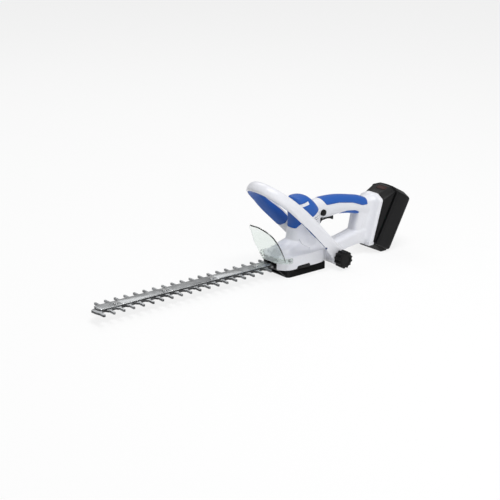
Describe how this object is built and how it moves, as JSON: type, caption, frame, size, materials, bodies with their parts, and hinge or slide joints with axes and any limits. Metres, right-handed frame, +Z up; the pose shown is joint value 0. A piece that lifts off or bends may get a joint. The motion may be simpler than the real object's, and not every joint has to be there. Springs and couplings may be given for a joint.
{
  "type": "hedge trimmer",
  "caption": "Cordless hedge trimmer: two sliding toothed blades under a guide bar, a clear hand guard, a tilting loop handle clamped by knobs, a D grip and a battery.",
  "frame": {"origin": "centre of the base cover's bottom face, where the tool stands on the ground", "axes": "+X to the rear, towards the battery, so that the blades point along -X; -Y is the left side as the user holds the tool; +Z up"},
  "size_m": [0.7457, 0.142, 0.1893],
  "materials": {
    "white_abs": "satin white ABS moulding",
    "blue_tpe": "matt blue overmoulded TPE",
    "black_nylon": "fine textured black glass-filled nylon",
    "knob_plastic": "semi-gloss black moulding",
    "control_plastic": "semi-gloss black moulding",
    "battery_plastic": "fine textured black moulding",
    "latch_plastic": "matt reddish brown moulding",
    "guard_pc": "clear polycarbonate with a faint green tint",
    "blade_steel": "ground carbon steel",
    "bar_steel": "rolled steel strip",
    "bolt_steel": "bright zinc plated steel",
    "screw_steel": "dark zinc plated steel",
    "inner_steel": "machined steel",
    "inner_alloy": "die-cast zinc",
    "bearing_brass": "sintered bronze",
    "contact_brass": "bright brass strip",
    "spring_steel": "bright spring wire",
    "inner_plastic": "black nylon moulding",
    "cell_can": "sleeved metal can"
  },
  "bodies": {
    "root": {"housing_left": "white_abs", "housing_right": "white_abs", "hood_pad": "blue_tpe", "grip_pad_top": "blue_tpe", "grip_pad_under": "blue_tpe", "housing_screws": "screw_steel", "base_cover": "black_nylon", "base_screws": "screw_steel", "guard": "guard_pc", "guard_screws": "screw_steel", "guide_bar": "bar_steel", "bar_screws": "screw_steel", "blade_bolts": "bolt_steel", "blade_sleeves": "bolt_steel", "blade_nuts": "bolt_steel", "gear_plate": "inner_steel", "gear_pin": "inner_steel", "gear_cover": "inner_alloy", "gear_screws": "screw_steel", "motor_can": "inner_steel", "motor_bearings": "bearing_brass", "toothed_washers": "black_nylon", "clamp_studs": "inner_steel", "trigger_pin": "inner_steel", "trigger_spring": "spring_steel", "switch_body": "inner_plastic", "lock_spring": "spring_steel", "terminal_rail": "inner_plastic", "terminal_blades": "contact_brass"},
    "blade_upper": {"blade_upper": "blade_steel"},
    "blade_lower": {"blade_lower": "blade_steel"},
    "gear": {"drive_gear": "inner_steel", "eccentric": "inner_steel"},
    "motor_rotor": {"motor_rotor": "inner_steel"},
    "front_handle": {"front_handle": "white_abs", "front_handle_pad": "blue_tpe", "handle_bushes": "black_nylon"},
    "knob_left": {"knob_left": "knob_plastic"},
    "knob_right": {"knob_right": "knob_plastic"},
    "trigger": {"trigger": "control_plastic"},
    "lock_button": {"lock_button": "control_plastic"},
    "battery": {"battery_case": "battery_plastic", "battery_rear": "battery_plastic", "battery_cells": "cell_can", "battery_contacts": "contact_brass", "latch_spring": "spring_steel"},
    "battery_latch": {"battery_latch": "latch_plastic"}
  },
  "joints": [
    {"name": "gear_turn", "type": "hinge", "parent": "root", "child": "gear", "pos_m": [-0.006, 0, 0.05], "axis": [0, 0, 1], "range_deg": [-90, 90]},
    {"name": "blade_upper_slide", "type": "slide", "parent": "root", "child": "blade_upper", "axis": [1, 0, 0], "range_m": [-0.00526, 0.00526]},
    {"name": "blade_lower_slide", "type": "slide", "parent": "root", "child": "blade_lower", "axis": [1, 0, 0], "range_m": [-0.00526, 0.00526]},
    {"name": "motor_turn", "type": "hinge", "parent": "root", "child": "motor_rotor", "pos_m": [0.027, 0, 0.06], "axis": [0, 0, 1], "range_deg": [-406, 406]},
    {"name": "front_handle_tilt", "type": "hinge", "parent": "root", "child": "front_handle", "pos_m": [0.075, 0, 0.02], "axis": [0, 1, 0], "range_deg": [-20, 35]},
    {"name": "knob_left_turn", "type": "hinge", "parent": "root", "child": "knob_left", "pos_m": [0.075, -0.06, 0.02], "axis": [0, -1, 0], "continuous": true},
    {"name": "knob_right_turn", "type": "hinge", "parent": "root", "child": "knob_right", "pos_m": [0.075, 0.06, 0.02], "axis": [0, 1, 0], "continuous": true},
    {"name": "trigger_pull", "type": "hinge", "parent": "root", "child": "trigger", "pos_m": [0.0645, 0, 0.095], "axis": [0, -1, 0], "range_deg": [0, 9], "stiffness_Nm_per_rad": 0.08, "springref_deg": -11.46, "deforming": ["trigger_spring"]},
    {"name": "lock_press", "type": "slide", "parent": "root", "child": "lock_button", "axis": [0, 1, 0], "range_m": [0, 0.002], "stiffness_N_per_m": 400, "springref_m": -0.004, "deforming": ["lock_spring"]},
    {"name": "battery_slide", "type": "slide", "parent": "root", "child": "battery", "axis": [0.4848, 0, 0.8746], "range_m": [0, 0.09]},
    {"name": "battery_latch_press", "type": "slide", "parent": "battery", "child": "battery_latch", "axis": [0.3276, 0, -0.9448], "range_m": [0, 0.002], "stiffness_N_per_m": 800, "springref_m": -0.003, "deforming": ["latch_spring"]}
  ],
  "couplings": [
    {"joint": "blade_upper_slide", "follows": "gear_turn", "m_per_rad": -0.003342},
    {"joint": "blade_lower_slide", "follows": "gear_turn", "m_per_rad": 0.003342},
    {"joint": "motor_turn", "follows": "gear_turn", "ratio": -4.5}
  ]
}
